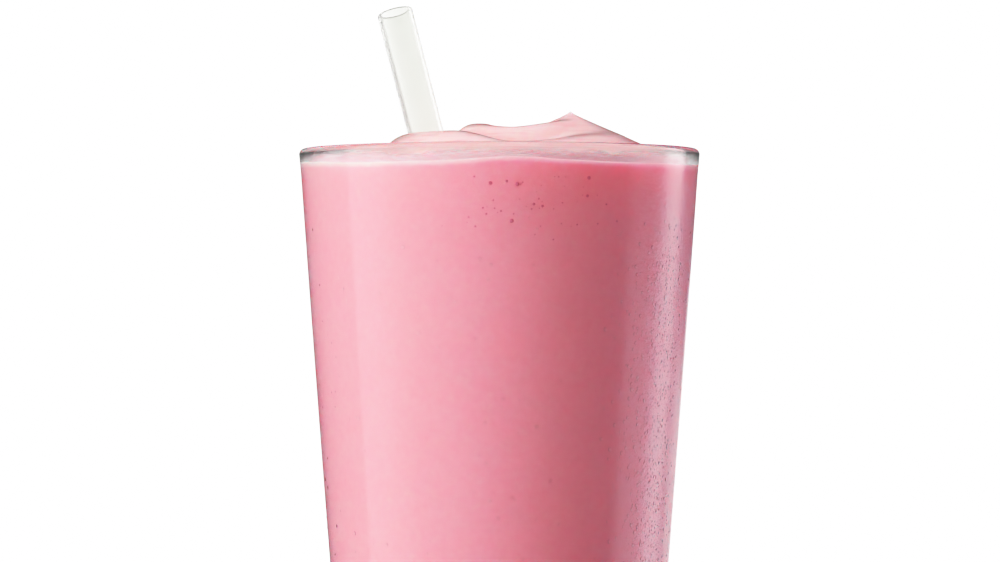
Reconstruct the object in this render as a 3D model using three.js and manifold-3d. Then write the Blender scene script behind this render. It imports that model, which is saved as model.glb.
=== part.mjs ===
// A strawberry milkshake in a tall tapered glass, with a clear straw standing in it.
// Sizes are in millimetres and +Z is up. The origin is the middle of the glass's underside,
// and the side that faces the viewer looks along -Y.

import * as THREE from "three";
import { ParametricGeometry } from "three/addons/geometries/ParametricGeometry.js";
import { mergeVertices } from "three/addons/utils/BufferGeometryUtils.js";
import Module from "manifold-3d";

const wasm = await Module();
wasm.setup();

// Glass: a thick-based tumbler whose wall narrows downwards and bows out very slightly.
const GLASS_HEIGHT = 156;
const RIM_RADIUS = 44.2;
const WALL_TAPER = 0.0708; // radius lost for each mm below the rim
const WALL_BOW = 4.8e-5; // radius lost for each square mm of depth, on top of the taper
const WALL_AT_RIM = 2.3;
const WALL_AT_BASE = 2.8;
const LIP_RADIUS = 1.25; // the fire-polished lip is a full round
const LIP_BEAD = 0.1; // how far that round stands out from the wall
const LIP_BLEND = 4; // height in which the wall swells into the lip
const BASE_THICKNESS = 11;
const HEEL_RADIUS = 4; // round between the underside and the wall
const FLOOR_FILLET = 8; // round between the inner floor and the wall
const GLASS_SEGMENTS = 72;
const ARC_STEPS = 4;
const WALL_STEPS = 5;

// Straw: a clear tube that leans to the left and away from the viewer.
const STRAW_RADIUS = 4;
const STRAW_WALL = 0.8;
const STRAW_EDGE = 0.2; // rounding of the cut ends
const STRAW_FOOT = new THREE.Vector3(20.8, -7, 15.2);
const STRAW_TIP = new THREE.Vector3(-23.6, 32.5, 188.1);
const STRAW_SEGMENTS = 40;

// Shake: it fills the glass to just under the lip and is heaped up in a soft swirl.
const FIT_GAP = 0.3; // room kept between the shake and what it touches
const FILL_HEIGHT = 152.05; // where the shake meets the wall
const FRONT_RISE = { at: -1.53, width: 0.22, height: 0.85 };
const LEFT_RISE = { at: Math.PI, width: 0.4, height: 1.2 };
const EDGE_WAVES = [
  { count: 5, phase: 2.0, height: 0.08 },
  { count: 9, phase: 0.5, height: 0.07 },
];
const TROUGH = { inset: 3, width: 2, depth: 0.35 }; // dip just inside the wall
const SHOULDER = { inset: 2, run: 13, height: 3 }; // slope from the dip up to the swirl

// The swirl is one rope of shake that winds inwards. At each turn angle in degrees, counterclockwise
// from +X seen from above, it has a distance from the swirl's centre, a crest height and a half width.
const SWIRL_CENTRE = new THREE.Vector2(3, 1.5);
const SWIRL = [
  { turn: 60, radius: 23, crest: 157, half: 5 },
  { turn: 165, radius: 20.8, crest: 159.6, half: 8.8 },
  { turn: 225, radius: 19.5, crest: 159.6, half: 7.8 },
  { turn: 270, radius: 21.5, crest: 156.9, half: 7 },
  { turn: 350, radius: 20, crest: 159.4, half: 8 },
  { turn: 430, radius: 15, crest: 160.2, half: 7.6 },
  { turn: 480, radius: 9.5, crest: 161.5, half: 7.8 },
  { turn: 540, radius: 7.4, crest: 161.7, half: 6.6 },
  { turn: 630, radius: 9.5, crest: 160.6, half: 6.2 },
  { turn: 715, radius: 12.8, crest: 162.4, half: 4.2 },
];
const SWIRL_STEP = 3; // degrees between the places where the rope is laid down
const ROPE_DROP = 4.6; // how far the rope's side falls at its half width
const ROPE_POWER = 2.8; // how square-shouldered the rope is
const CREASE_SOFTNESS = 0.5;

// The rope ends in a small pulled-up peak.
const PEAK = new THREE.Vector3(15.7, 1.2, 164.5);
const PEAK_SLOPE = 0.44;
const PEAK_NIB = { height: 0.45, reach: 0.6 };
const PEAK_SOFTNESS = 0.3;

const SHAKE_SEGMENTS = 88;
const SHAKE_ROWS = { floor: 5, wall: 8, top: 28 };

const WELD = 1e-3; // points closer than this are one

const { clamp, lerp, smoothstep } = THREE.MathUtils;

function outerRadius(z) {
  const depth = GLASS_HEIGHT - z;
  return RIM_RADIUS - WALL_TAPER * depth - WALL_BOW * depth * depth;
}

function innerRadius(z) {
  return outerRadius(z) - lerp(WALL_AT_BASE, WALL_AT_RIM, z / GLASS_HEIGHT);
}

// Points of a round corner, from one angle to the other in degrees.
function arc(centreX, centreY, radius, from, to, steps = ARC_STEPS) {
  return Array.from({ length: steps + 1 }, (_, i) => {
    const angle = THREE.MathUtils.degToRad(lerp(from, to, i / steps));
    return new THREE.Vector2(
      centreX + radius * Math.cos(angle),
      centreY + radius * Math.sin(angle),
    );
  });
}

function wallPoints(radiusAt, from, to) {
  return Array.from({ length: WALL_STEPS }, (_, i) => {
    const z = lerp(from, to, (i + 1) / (WALL_STEPS + 1));
    return new THREE.Vector2(radiusAt(z), z);
  });
}

// Turns a profile of radius and height about +Z.
function lathe(profile, segments) {
  return new THREE.LatheGeometry(profile, segments).rotateX(Math.PI / 2);
}

function glassGeometry() {
  const lipHeight = GLASS_HEIGHT - LIP_RADIUS;
  const lipCentre = outerRadius(lipHeight) + LIP_BEAD - LIP_RADIUS;
  const heelCentre = outerRadius(HEEL_RADIUS) - HEEL_RADIUS;
  const filletHeight = BASE_THICKNESS + FLOOR_FILLET;
  const filletCentre = innerRadius(filletHeight) - FLOOR_FILLET;
  return lathe(
    [
      new THREE.Vector2(0, 0),
      ...arc(heelCentre, HEEL_RADIUS, HEEL_RADIUS, -90, 0),
      ...wallPoints(outerRadius, HEEL_RADIUS, lipHeight - LIP_BLEND),
      new THREE.Vector2(outerRadius(lipHeight - LIP_BLEND), lipHeight - LIP_BLEND),
      ...arc(lipCentre, lipHeight, LIP_RADIUS, 0, 180, 2 * ARC_STEPS),
      new THREE.Vector2(innerRadius(lipHeight - LIP_BLEND), lipHeight - LIP_BLEND),
      ...wallPoints(innerRadius, lipHeight - LIP_BLEND, filletHeight),
      ...arc(filletCentre, filletHeight, FLOOR_FILLET, 0, -90),
      new THREE.Vector2(0, BASE_THICKNESS),
    ],
    GLASS_SEGMENTS,
  );
}

// A tube with slightly rounded ends, standing upright.
function tubeGeometry(inner, outer, start, end, edge) {
  return lathe(
    [
      ...arc(inner + edge, start + edge, edge, 180, 270, 1),
      ...arc(outer - edge, start + edge, edge, 270, 360, 1),
      ...arc(outer - edge, end - edge, edge, 0, 90, 1),
      ...arc(inner + edge, end - edge, edge, 90, 180, 1),
      new THREE.Vector2(inner, start + edge),
    ],
    STRAW_SEGMENTS,
  );
}

const strawLength = STRAW_FOOT.distanceTo(STRAW_TIP);

function strawGeometry() {
  return tubeGeometry(STRAW_RADIUS - STRAW_WALL, STRAW_RADIUS, 0, strawLength, STRAW_EDGE);
}

// The room that the straw takes in the shake.
function sleeveGeometry() {
  return tubeGeometry(
    STRAW_RADIUS - STRAW_WALL - FIT_GAP,
    STRAW_RADIUS + FIT_GAP,
    -FIT_GAP,
    strawLength + FIT_GAP,
    STRAW_EDGE,
  );
}

const strawLean = new THREE.Quaternion().setFromUnitVectors(
  new THREE.Vector3(0, 0, 1),
  new THREE.Vector3().subVectors(STRAW_TIP, STRAW_FOOT).normalize(),
);

// A soft bump around a direction, both angles in radians.
function bump(angle, { at, width, height }) {
  const away = Math.atan2(Math.sin(angle - at), Math.cos(angle - at));
  return height * Math.exp(-((away / width) ** 2));
}

// Height at which the shake meets the wall in a direction.
function edgeHeight(angle) {
  let height = FILL_HEIGHT + bump(angle, FRONT_RISE) + bump(angle, LEFT_RISE);
  for (const wave of EDGE_WAVES) {
    height += wave.height * Math.sin(wave.count * angle + wave.phase);
  }
  return height;
}

// The rope's places, with sizes eased from each entry of SWIRL to the next.
function ropePlaces() {
  const places = [];
  for (let k = 0; k + 1 < SWIRL.length; k++) {
    const [a, b] = [SWIRL[k], SWIRL[k + 1]];
    for (let turn = a.turn; turn < b.turn; turn += SWIRL_STEP) {
      const share = smoothstep(turn, a.turn, b.turn);
      const angle = THREE.MathUtils.degToRad(turn);
      const radius = lerp(a.radius, b.radius, share);
      places.push({
        x: SWIRL_CENTRE.x + radius * Math.cos(angle),
        y: SWIRL_CENTRE.y + radius * Math.sin(angle),
        crest: lerp(a.crest, b.crest, share),
        half: lerp(a.half, b.half, share),
      });
    }
  }
  return places;
}

const rope = ropePlaces();

// The higher of two heights, with the crease between them filled by a small round.
function softMax(a, b, softness) {
  return Math.max(a, b) + softness * Math.log1p(Math.exp(-Math.abs(a - b) / softness));
}

// Height of the shake's top above a point.
function topHeight(x, y) {
  const edge = edgeHeight(Math.atan2(y, x));
  const inset = innerRadius(edge) - Math.hypot(x, y);
  const trough = TROUGH.depth * Math.exp(-(((inset - TROUGH.inset) / TROUGH.width) ** 2));
  const shoulder = SHOULDER.height * smoothstep(inset, SHOULDER.inset, SHOULDER.inset + SHOULDER.run);
  let swirl = -Infinity;
  for (const place of rope) {
    const away = Math.hypot(x - place.x, y - place.y) / place.half;
    swirl = Math.max(swirl, place.crest - ROPE_DROP * away ** ROPE_POWER);
  }
  const fromPeak = Math.hypot(x - PEAK.x, y - PEAK.y);
  const nib = PEAK_NIB.height * (1 - Math.exp(-fromPeak / PEAK_NIB.reach));
  const peak = PEAK.z - nib - PEAK_SLOPE * fromPeak;
  const heap = softMax(edge - trough + shoulder, swirl, CREASE_SOFTNESS);
  return softMax(heap, peak, PEAK_SOFTNESS);
}

// Floor, side and top of the shake as one closed skin: u goes round it, and v goes from the
// middle of the floor out to the wall, up the wall and back in over the top.
function shakeGeometry() {
  const rows = SHAKE_ROWS.floor + SHAKE_ROWS.wall + SHAKE_ROWS.top;
  const floor = BASE_THICKNESS + FIT_GAP;
  const filletHeight = BASE_THICKNESS + FLOOR_FILLET;
  const filletRadius = FLOOR_FILLET - FIT_GAP;
  const filletCentre = innerRadius(filletHeight) - FLOOR_FILLET;
  const skin = (u, v, target) => {
    const angle = 2 * Math.PI * u;
    const edge = edgeHeight(angle);
    const row = Math.round(v * rows);
    let radius, z;
    if (row <= SHAKE_ROWS.floor) {
      // The first row is the flat floor and the others go up its fillet.
      const turn = (clamp(row - 1, 0, rows) / (SHAKE_ROWS.floor - 1)) * (Math.PI / 2);
      radius = row === 0 ? 0 : filletCentre + filletRadius * Math.sin(turn);
      z = floor + filletRadius * (1 - Math.cos(turn));
    } else if (row <= SHAKE_ROWS.floor + SHAKE_ROWS.wall) {
      z = lerp(filletHeight, edge, (row - SHAKE_ROWS.floor) / SHAKE_ROWS.wall);
      radius = innerRadius(z) - FIT_GAP;
    } else {
      radius = ((innerRadius(edge) - FIT_GAP) * (rows - row)) / SHAKE_ROWS.top;
      z = topHeight(radius * Math.cos(angle), radius * Math.sin(angle));
    }
    target.set(radius * Math.cos(angle), radius * Math.sin(angle), z);
  };
  return new ParametricGeometry(skin, SHAKE_SEGMENTS, rows);
}

// A closed geometry as a solid, placed where the object would stand.
function solid(geometry, object = new THREE.Object3D()) {
  const bare = geometry.clone().deleteAttribute("normal").deleteAttribute("uv");
  object.updateMatrix();
  const merged = mergeVertices(bare.applyMatrix4(object.matrix), WELD);
  return new wasm.Manifold(
    new wasm.Mesh({
      numProp: 3,
      vertProperties: merged.attributes.position.array,
      triVerts: new Uint32Array(merged.index.array),
    }),
  );
}

// A solid's triangles as a geometry.
function geometryOf(shape) {
  const { vertProperties, triVerts } = shape.getMesh();
  const geometry = new THREE.BufferGeometry();
  geometry.setAttribute("position", new THREE.BufferAttribute(vertProperties, 3));
  geometry.setIndex(new THREE.BufferAttribute(triVerts, 1));
  geometry.computeVertexNormals();
  return geometry;
}

function named(name, geometry, material) {
  const mesh = new THREE.Mesh(geometry, material);
  mesh.name = name;
  return mesh;
}

function leaned(object) {
  object.position.copy(STRAW_FOOT);
  object.quaternion.copy(strawLean);
  return object;
}

const clearGlass = new THREE.MeshStandardMaterial({
  color: "#eef3f2",
  roughness: 0.05,
  metalness: 0,
  transparent: true,
  opacity: 0.3,
});
const strawberryShake = new THREE.MeshStandardMaterial({
  color: "#f0a3ad",
  roughness: 0.4,
  metalness: 0,
});
const clearPlastic = new THREE.MeshStandardMaterial({
  color: "#eceee8",
  roughness: 0.2,
  metalness: 0,
  transparent: true,
  opacity: 0.6,
});

const glass = named("glass", glassGeometry(), clearGlass);
const straw = leaned(named("straw", strawGeometry(), clearPlastic));
const sleeve = solid(sleeveGeometry(), leaned(new THREE.Object3D()));
const shake = named(
  "milkshake",
  geometryOf(solid(shakeGeometry()).subtract(sleeve)),
  strawberryShake,
);

const drink = new THREE.Group();
drink.add(glass, shake, straw);

export default drink;
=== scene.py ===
"""Looks of a strawberry milkshake in its glass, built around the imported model.

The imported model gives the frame: metres, +Z up, the origin in the middle of the glass's underside
and the viewer on the -Y side. Sizes in this file are in millimetres, like the model's own, and are
turned to metres where a mesh is made.
"""

from __future__ import annotations

import logging
import math
from collections.abc import Callable, Sequence
from dataclasses import dataclass
from enum import Enum
from functools import partial
from typing import Any

import bpy
import numpy as np
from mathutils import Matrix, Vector

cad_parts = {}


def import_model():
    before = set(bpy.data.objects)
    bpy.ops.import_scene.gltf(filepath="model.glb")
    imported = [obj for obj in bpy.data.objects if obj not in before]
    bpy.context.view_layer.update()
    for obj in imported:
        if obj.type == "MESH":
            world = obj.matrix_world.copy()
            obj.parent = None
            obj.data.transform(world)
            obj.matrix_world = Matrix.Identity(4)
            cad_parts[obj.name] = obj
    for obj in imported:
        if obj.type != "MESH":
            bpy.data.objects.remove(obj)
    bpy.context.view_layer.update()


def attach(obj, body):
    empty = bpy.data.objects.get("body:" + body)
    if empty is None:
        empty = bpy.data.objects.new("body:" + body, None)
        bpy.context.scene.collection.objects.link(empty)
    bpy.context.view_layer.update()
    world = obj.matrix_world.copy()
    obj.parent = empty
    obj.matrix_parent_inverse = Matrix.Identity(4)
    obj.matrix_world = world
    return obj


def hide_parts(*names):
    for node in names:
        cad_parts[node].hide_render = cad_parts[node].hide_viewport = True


log = logging.getLogger("milkshake")

MM = 0.001
PICTURE_WIDTH = 1000
BODY = "root"

# How near two points of one piece may lie before they become one, in millimetres.
WELD = 0.001

# Sockets of a Mix node that mixes colours: what is under, what comes over it, and the outcome.
MIX_UNDER, MIX_OVER, MIX_RESULT = 6, 7, 2

# The cool white of the lights on the right, which keeps the shaded pink from turning brown.
COOL = "#edecff"

# Power that a draw from 0 to 1 is raised to, so that most scattered beads are small.
MOSTLY_SMALL = 2.0

# How often the balls that beads are made from are subdivided: the many fine drops, the few bubbles.
DROP_DETAIL, BUBBLE_DETAIL = 2, 3

# Power that a ball's upper half is raised to, which turns it into a low dome with a thin edge.
DOME_POWER = 2.0

# How often light may bounce in all, and how often through clear things.
BOUNCES, CLEAR_BOUNCES = 16, 12


class Node(Enum):
    """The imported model's nodes; each has a material slot of the same name."""

    GLASS = "glass"
    SHAKE = "milkshake"
    STRAW = "straw"


class Ray(Enum):
    """Kinds of light ray that a material or the world may treat apart."""

    SHADOW = "Is Shadow Ray"
    DIFFUSE = "Is Diffuse Ray"
    CAMERA = "Is Camera Ray"
    TRANSMISSION = "Is Transmission Ray"


class Mark(Enum):
    """Names of the values that a mesh carries point by point."""

    FILM = "film"
    FROTH = "froth"
    DENSITY = "density"
    SIZE = "size"


def linear(hex_colour: str) -> tuple[float, float, float, float]:
    """Turn an sRGB hex colour such as "#f0a3ad" into linear RGBA.

    Args:
        hex_colour: Six hex digits after a hash.

    Returns:
        Red, green, blue and an alpha of one.
    """
    parts = [int(hex_colour[i : i + 2], 16) / 255 for i in (1, 3, 5)]
    red, green, blue = (c / 12.92 if c <= 0.04045 else ((c + 0.055) / 1.055) ** 2.4 for c in parts)
    return red, green, blue, 1.0


def add_node(tree: Any, kind: str, inputs: dict[Any, Any] | None = None, **settings: Any) -> Any:
    """Add a node with its settings, set or link its inputs, and give back its output sockets.

    Args:
        tree: The node tree that gets it.
        kind: Blender's name of the node's type.
        inputs: Values or other nodes' output sockets, by the name or number of the input.
        settings: Properties of the node itself.

    Returns:
        The node's output sockets, by name or number.
    """
    node = tree.nodes.new(kind)
    for name, value in settings.items():
        setattr(node, name, value)
    for key, value in (inputs or {}).items():
        if isinstance(value, bpy.types.NodeSocket):
            tree.links.new(value, node.inputs[key])
        else:
            node.inputs[key].default_value = value
    return node.outputs


# The function above with its tree already given.
AddNode = Callable[..., Any]


def smoothstep(value: np.ndarray, low: float, high: float) -> np.ndarray:
    """Ease from 0 at low to 1 at high."""
    share = np.clip((value - low) / (high - low), 0.0, 1.0)
    return share * share * (3 - 2 * share)


def soft_max(first: np.ndarray, second: np.ndarray, softness: float) -> np.ndarray:
    """Take the higher of two heights, with a small round in the crease between them."""
    return np.logaddexp(first / softness, second / softness) * softness


def arc(centre: tuple[float, float], radius: float, start: float, end: float, steps: int) -> np.ndarray:
    """Place points along a round corner of a profile.

    Args:
        centre: Distance from the axis and height of the corner's centre.
        radius: Radius of the corner.
        start: First angle in degrees.
        end: Last angle in degrees.
        steps: Number of stretches between the points.

    Returns:
        One row of radius and height a point.
    """
    angles = np.radians(np.linspace(start, end, steps + 1))
    return np.column_stack((centre[0] + radius * np.cos(angles), centre[1] + radius * np.sin(angles)))


def direction(azimuth: float, elevation: float) -> Vector:
    """Return the way to a point of the studio as seen from the drink.

    Args:
        azimuth: Degrees from the viewer's side, growing to the viewer's right.
        elevation: Degrees above the floor.

    Returns:
        A vector of length one.
    """
    a, e = math.radians(azimuth), math.radians(elevation)
    return Vector((math.sin(a) * math.cos(e), -math.cos(a) * math.cos(e), math.sin(e)))


def mesh_object(name: str, points: np.ndarray, faces: Sequence[Sequence[int]]) -> Any:
    """Make a mesh object and link it to the scene.

    Args:
        name: Name of the object and of its mesh.
        points: One row of x, y and z a point, in millimetres.
        faces: The points of each face, in order.

    Returns:
        The object.
    """
    mesh = bpy.data.meshes.new(name)
    mesh.from_pydata((points * MM).tolist(), [], faces)
    made = bpy.data.objects.new(name, mesh)
    bpy.context.scene.collection.objects.link(made)
    return made


def round_band(low: int, high: int, count: int) -> list[tuple[int, int, int, int]]:
    """Join two rings of points by a band of four-sided faces.

    Args:
        low: Number of the lower ring's first point.
        high: Number of the upper ring's first point.
        count: Number of points in each ring.

    Returns:
        The points of each face, facing outwards.
    """
    nexts = [(i, (i + 1) % count) for i in range(count)]
    return [(low + i, low + j, high + j, high + i) for i, j in nexts]


def set_mark(piece: Any, mark: Mark, values: np.ndarray) -> None:
    """Give each of a mesh's points a value under a name.

    Args:
        piece: The mesh object.
        mark: The name.
        values: One value a point.
    """
    marked = piece.data.attributes.new(mark.value, "FLOAT", "POINT")
    marked.data.foreach_set("value", values)


def keep_result(piece: Any, modifier: Any) -> None:
    """Make what a modifier shows the piece's own plain mesh.

    Args:
        piece: The mesh object.
        modifier: Its modifier, which is removed.
    """
    graph = bpy.context.evaluated_depsgraph_get()
    graph.update()
    made = bpy.data.meshes.new_from_object(piece.evaluated_get(graph), depsgraph=graph)
    piece.modifiers.remove(modifier)
    old = piece.data
    piece.data = made
    bpy.data.meshes.remove(old)
    made.name = piece.name


# Materials


def let_through(add: AddNode, shader: Any, kinds: Sequence[Ray]) -> Any:
    """Let some kinds of ray pass a shader unbent, so that lamps light what is behind it.

    Args:
        add: Adds a node to the material's tree.
        shader: Output socket of the shader that the other rays see.
        kinds: The kinds of ray that pass.

    Returns:
        The output socket of the mixed shader.
    """
    paths = add("ShaderNodeLightPath")
    for kind in kinds:
        clear = add("ShaderNodeBsdfTransparent")
        mix = add("ShaderNodeMixShader", {0: paths[kind.value], 1: shader, 2: clear[0]})
        shader = mix[0]
    return shader


@dataclass(frozen=True)
class Finish:
    """A named material; a kind of finish says what its shader is."""

    name: str

    def shader(self, add: AddNode) -> Any:
        """Build the shader with a function that adds nodes, and return its output socket."""
        raise NotImplementedError

    def material(self) -> Any:
        """Make the material.

        Returns:
            The material, under the finish's name.
        """
        made = bpy.data.materials.new(self.name)
        made.use_nodes = True
        made.node_tree.nodes.clear()
        add = partial(add_node, made.node_tree)
        add("ShaderNodeOutputMaterial", {"Surface": self.shader(add)})
        return made


@dataclass(frozen=True)
class MistedGlass(Finish):
    """Soda-lime glass, blown and fire-polished: clear, with a breath of mist that softens its shine.

    On the side where the cold glass mists most, the mist starts right under the lip and turns a
    softbox's mirror image into a milky veil with a beaded grain.
    """

    tint: str = "#fdfefd"
    ior: float = 1.5
    thin_roughness: float = 0.13
    thick_roughness: float = 0.14
    thick_mist: tuple[float, float] = (154.0, 146.0)
    thick_azimuth: float = 80.0
    thick_share: tuple[float, float] = (0.5, 0.95)
    patch: float = 2.4
    patch_detail: float = 4.0
    patch_share: tuple[float, float] = (0.7, 1.0)
    bead: float = 1.1
    bead_detail: float = 1.0
    bead_flatness: float = 1.7
    bead_depth: float = 0.07
    bead_azimuth: float = 59.0
    bead_share: tuple[float, float] = (0.95, 0.99)

    def shader(self, add: AddNode) -> Any:
        """Build the glass, whose roughness and grain follow the mist.

        Args:
            add: Adds a node to the material's tree.

        Returns:
            The shader's output socket.
        """
        place = add("ShaderNodeTexCoord")["Object"]
        height = add("ShaderNodeSeparateXYZ", {0: place})["Z"]
        level = add("ShaderNodeVectorMath", {0: place, 1: (1.0, 1.0, 0.0)}, operation="MULTIPLY")
        outwards = add("ShaderNodeVectorMath", {0: level[0]}, operation="NORMALIZE")
        towards_thick, towards_beads = (
            add(
                "ShaderNodeVectorMath",
                {0: outwards[0], 1: tuple(direction(azimuth, 0))},
                operation="DOT_PRODUCT",
            )["Value"]
            for azimuth in (self.thick_azimuth, self.bead_azimuth)
        )
        thick_top, thick_full = (edge * MM for edge in self.thick_mist)
        side, beaded, below = (
            add(
                "ShaderNodeMapRange",
                {"Value": value, "From Min": start, "From Max": end},
                interpolation_type="SMOOTHSTEP",
            )[0]
            for value, start, end in (
                (towards_thick, *self.thick_share),
                (towards_beads, *self.bead_share),
                (height, thick_top, thick_full),
            )
        )
        thick, beading = (
            add("ShaderNodeMath", {0: share, 1: below}, operation="MULTIPLY")[0]
            for share in (side, beaded)
        )
        mist = add(
            "ShaderNodeMath",
            {0: thick, 1: self.thick_roughness, 2: self.thin_roughness},
            operation="MULTIPLY_ADD",
        )
        flattened = add(
            "ShaderNodeVectorMath",
            {0: place, 1: (1.0, 1.0, self.bead_flatness)},
            operation="MULTIPLY",
        )
        patches, beads = (
            add(
                "ShaderNodeTexNoise",
                {"Vector": vector, "Scale": 1 / (size * MM), "Detail": detail},
            )["Fac"]
            for vector, size, detail in (
                (place, self.patch, self.patch_detail),
                (flattened[0], self.bead, self.bead_detail),
            )
        )
        least, most = self.patch_share
        share = add("ShaderNodeMapRange", {"Value": patches, "To Min": least, "To Max": most})
        roughness = add("ShaderNodeMath", {0: mist[0], 1: share[0]}, operation="MULTIPLY")
        grain = add(
            "ShaderNodeBump",
            {"Height": beads, "Distance": self.bead_depth * MM, "Strength": beading},
        )
        glass = add(
            "ShaderNodeBsdfPrincipled",
            {
                "Base Color": linear(self.tint),
                "Roughness": roughness[0],
                "IOR": self.ior,
                "Transmission Weight": 1.0,
                "Normal": grain[0],
            },
        )
        return let_through(add, glass[0], (Ray.SHADOW, Ray.DIFFUSE))


@dataclass(frozen=True)
class StrawberryShake(Finish):
    """Thick blended milk: light sinks in deep, red the deepest, under a softly wet skin, with painted
    shade on the mound's top edges and a painted highlight in the film at its edge.
    """

    colour: str = "#f5b8c2"
    pulp: str = "#f0adb9"
    froth: str = "#f7d0cf"
    # The film's pale colour is partly the real thin film of milk at the wall and partly a painted
    # highlight, strongest where it faces the key light.
    film: str = "#f8d8d2"
    streak: str = "#edb3b6"
    # Painted shade: a dark colour laid over the mound's top edges where they are seen side-on, above
    # edge_shade_height.
    edge: str = "#a87f7b"
    scatter: tuple[float, float, float] = (1.0, 0.22, 0.28)
    scatter_depth: float = 12.0
    roughness: float = 0.25
    pulp_size: float = 1.6
    pulp_detail: float = 5.0
    streak_size: float = 9.0
    streak_detail: float = 3.0
    streak_flatness: float = 13.0
    streak_edges: tuple[float, float] = (0.48, 0.68)
    streak_share: float = 0.55
    shade_facing: tuple[float, float] = (0.7, 1.0)
    edge_shade_height: tuple[float, float] = (155.0, 157.5)
    edge_shade_share: float = 0.8
    grain: float = 0.7
    grain_detail: float = 3.0
    grain_depth: float = 0.04
    grain_strength: float = 0.6

    def shader(self, add: AddNode) -> Any:
        """Build the scattering body with its pulp, the froth on top, the painted shade on the mound's
        edges, and the film at its edge with its painted highlight.

        Args:
            add: Adds a node to the material's tree.

        Returns:
            The shader's output socket.
        """
        place = add("ShaderNodeTexCoord")["Object"]
        froth, film = (
            add("ShaderNodeAttribute", attribute_name=mark.value)["Fac"]
            for mark in (Mark.FROTH, Mark.FILM)
        )
        flattened = add(
            "ShaderNodeVectorMath",
            {0: place, 1: (1.0, 1.0, self.streak_flatness)},
            operation="MULTIPLY",
        )
        pulp, grain, bands = (
            add(
                "ShaderNodeTexNoise",
                {"Vector": vector, "Scale": 1 / (size * MM), "Detail": detail},
            )["Fac"]
            for vector, size, detail in (
                (place, self.pulp_size, self.pulp_detail),
                (place, self.grain, self.grain_detail),
                (flattened[0], self.streak_size, self.streak_detail),
            )
        )
        low, high = self.streak_edges
        sharp = add(
            "ShaderNodeMapRange",
            {"Value": bands, "From Min": low, "From Max": high, "To Max": self.streak_share},
        )
        streaks = add("ShaderNodeMath", {0: sharp[0], 1: froth}, operation="MULTIPLY")
        height = add("ShaderNodeSeparateXYZ", {0: place})["Z"]
        # Painted shade: above the edge height, the mound is darkened where its surface is seen side-on.
        facing = add("ShaderNodeLayerWeight")["Facing"]
        low_edge, high_edge = (edge * MM for edge in self.edge_shade_height)
        grazing, raised = (
            add(
                "ShaderNodeMapRange",
                {"Value": value, "From Min": low, "From Max": high, "To Max": most},
            )[0]
            for value, low, high, most in (
                (facing, *self.shade_facing, self.edge_shade_share),
                (height, low_edge, high_edge, 1.0),
            )
        )
        edges = add("ShaderNodeMath", {0: grazing, 1: raised}, operation="MULTIPLY")
        # Over the skin go the pulp, the froth, the streaks, the painted edge shade, and the film, whose
        # whiteness is partly a painted highlight.
        skin = linear(self.colour)
        for share, colour in (
            (pulp, self.pulp),
            (froth, self.froth),
            (streaks[0], self.streak),
            (edges[0], self.edge),
            (film, self.film),
        ):
            mixed = add(
                "ShaderNodeMix",
                {"Factor": share, MIX_UNDER: skin, MIX_OVER: linear(colour)},
                data_type="RGBA",
            )
            skin = mixed[MIX_RESULT]
        bump = add(
            "ShaderNodeBump",
            {"Height": grain, "Distance": self.grain_depth * MM, "Strength": self.grain_strength},
        )
        body = add(
            "ShaderNodeBsdfPrincipled",
            {
                "Base Color": skin,
                "Roughness": self.roughness,
                "Subsurface Weight": 1.0,
                "Subsurface Radius": self.scatter,
                "Subsurface Scale": self.scatter_depth * MM,
                "Normal": bump[0],
            },
            subsurface_method="RANDOM_WALK",
        )
        return body[0]


@dataclass(frozen=True)
class MilkFilm(Finish):
    """A trace of milkshake on glass: a pale pink haze, thinning out, that what is behind shows through."""

    colour: str = "#fdc2ca"
    cover: float = 0.88
    roughness: float = 0.35
    scatter: tuple[float, float, float] = (1.0, 0.6, 0.65)
    scatter_depth: float = 1.0

    def shader(self, add: AddNode) -> Any:
        """Build the half-clear film, which glows with the light that falls on its back.

        Args:
            add: Adds a node to the material's tree.

        Returns:
            The shader's output socket.
        """
        share = add("ShaderNodeAttribute", attribute_name=Mark.FILM.value)["Fac"]
        cover = add("ShaderNodeMath", {0: share, 1: self.cover}, operation="MULTIPLY")
        film = add(
            "ShaderNodeBsdfPrincipled",
            {
                "Base Color": linear(self.colour),
                "Roughness": self.roughness,
                "Subsurface Weight": 1.0,
                "Subsurface Radius": self.scatter,
                "Subsurface Scale": self.scatter_depth * MM,
                "Alpha": cover[0],
            },
        )
        return film[0]


@dataclass(frozen=True)
class ClearPlastic(Finish):
    """Extruded polypropylene: clear, with the faint milkiness that thin plastic has."""

    tint: str = "#ecede8"
    ior: float = 1.49
    roughness: float = 0.1
    haze: float = 0.15
    haze_colour: str = "#fbfcf8"

    def shader(self, add: AddNode) -> Any:
        """Build clear plastic with a share of scattering haze.

        Args:
            add: Adds a node to the material's tree.

        Returns:
            The shader's output socket.
        """
        clear = add(
            "ShaderNodeBsdfPrincipled",
            {
                "Base Color": linear(self.tint),
                "Roughness": self.roughness,
                "IOR": self.ior,
                "Transmission Weight": 1.0,
            },
        )
        milky = add("ShaderNodeBsdfTranslucent", {"Color": linear(self.haze_colour)})
        mix = add("ShaderNodeMixShader", {0: self.haze, 1: clear[0], 2: milky[0]})
        return let_through(add, mix[0], (Ray.SHADOW, Ray.DIFFUSE))


@dataclass(frozen=True)
class Water(Finish):
    """Condensed water: clear, smooth drops that bend light less than glass and glint on the mist."""

    ior: float = 1.333
    roughness: float = 0.12

    def shader(self, add: AddNode) -> Any:
        """Build the water.

        Args:
            add: Adds a node to the material's tree.

        Returns:
            The shader's output socket.
        """
        water = add(
            "ShaderNodeBsdfPrincipled",
            {
                "Base Color": linear("#ffffff"),
                "Roughness": self.roughness,
                "IOR": self.ior,
                "Transmission Weight": 1.0,
            },
        )
        return let_through(add, water[0], (Ray.SHADOW, Ray.DIFFUSE))


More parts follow.
